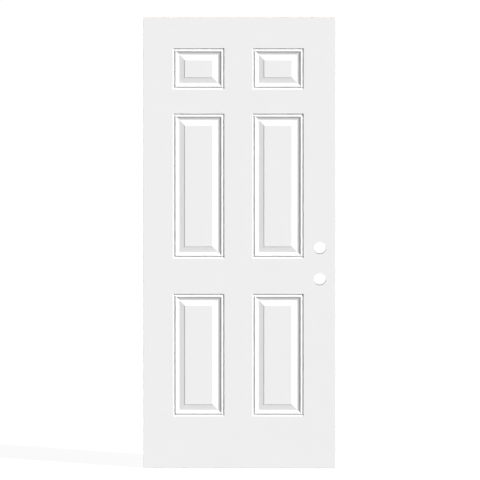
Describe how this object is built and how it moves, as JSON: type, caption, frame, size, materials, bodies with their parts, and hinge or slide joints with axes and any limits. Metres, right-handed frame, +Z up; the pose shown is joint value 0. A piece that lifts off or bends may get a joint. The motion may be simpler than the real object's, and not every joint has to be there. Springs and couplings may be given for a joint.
{
  "type": "panelled front door",
  "caption": "White panelled front door leaf with pressed steel skins, wood edges and a foam core, bored for a knob lock and a deadbolt and cut for butt hinges.",
  "frame": {"origin": "middle of the leaf's underside, halfway through its thickness", "axes": "+Z up the leaf, +X towards the lock edge, -Y out of the outside face that the picture shows"},
  "size_m": [0.8572, 0.0444, 2.0129],
  "materials": {
    "primed_steel": "satin white primer on pressed sheet steel",
    "pine": "planed, finger-jointed, unpainted",
    "composite": "moulded wood-fibre composite, sawn and bored",
    "foam": "rigid foam, poured in place"
  },
  "bodies": {
    "root": {"front_skin": "primed_steel", "back_skin": "primed_steel", "hinge_stile": "pine", "lock_stile": "pine", "top_rail": "pine", "bottom_rail": "composite", "lock_block": "composite", "foam_core": "foam"}
  },
  "joints": []
}
